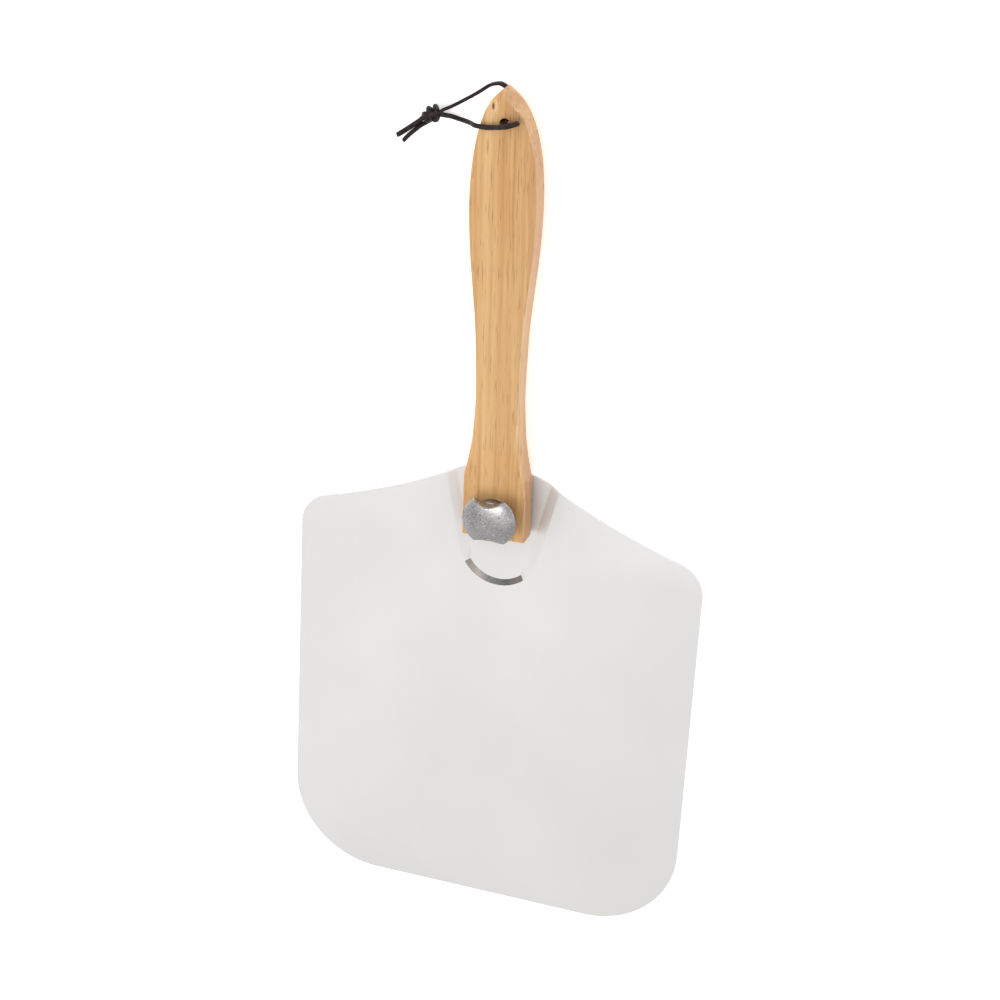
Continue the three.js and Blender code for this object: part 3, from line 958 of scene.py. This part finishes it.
def pivot_bolt(material):
    """A low round head and a plain shank. The square neck is hidden in the blade's hole."""
    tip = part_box("pivot_bolt")[1].z
    corner = Vector((0.0078, 0))
    crown = quadratic(Vector((BOLT_HEAD_FLAT, 0)), corner, Vector((BOLT_HEAD_RADIUS, 0.0013)), 6)
    profile = [(0.0, 0.0), (BOLT_HEAD_FLAT, 0.0)] + [(p.x, p.y) for p in crown]
    profile += [
        (BOLT_HEAD_RADIUS, BOLT_HEAD_HEIGHT - 0.0004),
        (BOLT_HEAD_RADIUS - 0.0003, BOLT_HEAD_HEIGHT),
        (BOLT_RADIUS + 0.0005, BOLT_HEAD_HEIGHT),
        (BOLT_RADIUS, BOLT_HEAD_HEIGHT + 0.0005),
        (BOLT_RADIUS, tip - BOLT_TIP_CHAMFER),
        (BOLT_RADIUS - BOLT_TIP_CHAMFER, tip),
        (0.0, tip),
    ]
    piece = turned_piece("carriage_bolt", profile, material)
    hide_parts("pivot_bolt")
    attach(piece, "blade_assembly")


def hardware():
    """The CAD nodes whose shape is right keep it, with real materials."""
    steel = turned_metal("zinc_plated_steel", (0.55, 0.55, 0.56), (0.68, 0.68, 0.68), 0.26)
    brass = turned_metal("brass", (0.66, 0.48, 0.2), (0.78, 0.6, 0.3), 0.22)
    pivot_bolt(steel)
    for name in ("thrust_washer", "spring_washer"):
        paint(nodes[name], steel)
    for name in ("handle_bush", "knob_insert"):
        paint(nodes[name], brass)
    paint(nodes["friction_washer"], vulcanised_fibre())


def area_light(name, direction, distance, size, energy):
    light = bpy.data.objects.new(name, bpy.data.lights.new(name, "AREA"))
    bpy.context.scene.collection.objects.link(light)
    light.data.shape = "RECTANGLE"
    light.data.size, light.data.size_y = size
    light.data.energy = energy
    light.location = Vector(direction).normalized() * distance
    light.rotation_euler = (-light.location).to_track_quat("-Z", "Y").to_euler()
    return light


def surroundings(tree):
    """A white tent, a little darker to the right and towards the floor."""
    direction = tree.nodes.new("ShaderNodeSeparateXYZ")
    tree.links.new(tree.nodes.new("ShaderNodeTexCoord").outputs["Generated"], direction.inputs[0])
    strength = tree.nodes.new("ShaderNodeMath")
    strength.operation = "MULTIPLY"
    falls = (("X", -0.1, 0.7, 0.94, 0.83), ("Z", 0.6, 0.0, 1.0, 0.7))
    for socket, (axis, start, end, bright, dim) in zip(strength.inputs, falls):
        fall = tree.nodes.new("ShaderNodeMapRange")
        tree.links.new(direction.outputs[axis], fall.inputs["Value"])
        for name, value in (("From Min", start), ("From Max", end), ("To Min", bright), ("To Max", dim)):
            fall.inputs[name].default_value = value
        tree.links.new(fall.outputs[0], socket)
    background = tree.nodes["Background"]
    background.inputs["Color"].default_value = (1, 1, 1, 1)
    tree.links.new(strength.outputs[0], background.inputs["Strength"])


def studio():
    mesh = bmesh.new()
    bmesh.ops.create_grid(mesh, x_segments=1, y_segments=1, size=6)
    data = bpy.data.meshes.new("floor")
    mesh.to_mesh(data)
    mesh.free()
    floor = bpy.data.objects.new("floor", data)
    bpy.context.scene.collection.objects.link(floor)
    pale = Nodes("pale_floor")
    pale.set(Base_Color=(0.97, 0.97, 0.97, 1), Roughness=0.9, Specular_IOR_Level=0.1)
    pale.set(Emission_Color=(1, 1, 1, 1), Emission_Strength=0.45)
    paint(floor, pale.material)
    world = bpy.data.worlds.new("studio")
    bpy.context.scene.world = world
    world.use_nodes = True
    surroundings(world.node_tree)
    key = area_light("key", (-0.5, -0.3, 0.8), 2.6, (2.0, 2.0), 34)
    key.visible_glossy = False
    back = area_light("back", (0.08, 0.5, 0.78), 2.4, (2.2, 0.4), 28)
    back.visible_diffuse = False
    edge = area_light("edge", (0.75, 0.0, 0.6), 2.4, (0.4, 3.2), 6)
    edge.visible_diffuse = False
    bpy.context.scene.view_settings.view_transform = "Standard"


camera_view()
hanging_thong(waxed_leather())
blade(satin_aluminium(), painted_reflection_aluminium())
handle([
    hardwood("hardwood_face", (1, 1, 1), 0.12),
    # The sides' copy is darker and pinker: painted shade.
    hardwood("hardwood_side_painted_shade", (1.0, 0.93, 0.85), 0.35),
    # The arris copy is much lighter: a painted highlight.
    hardwood("hardwood_arris_painted_highlight", (1.2, 1.32, 1.6), 0.5),
])
knob(cast_metal())
hardware()
studio()

bpy.context.view_layer.update()
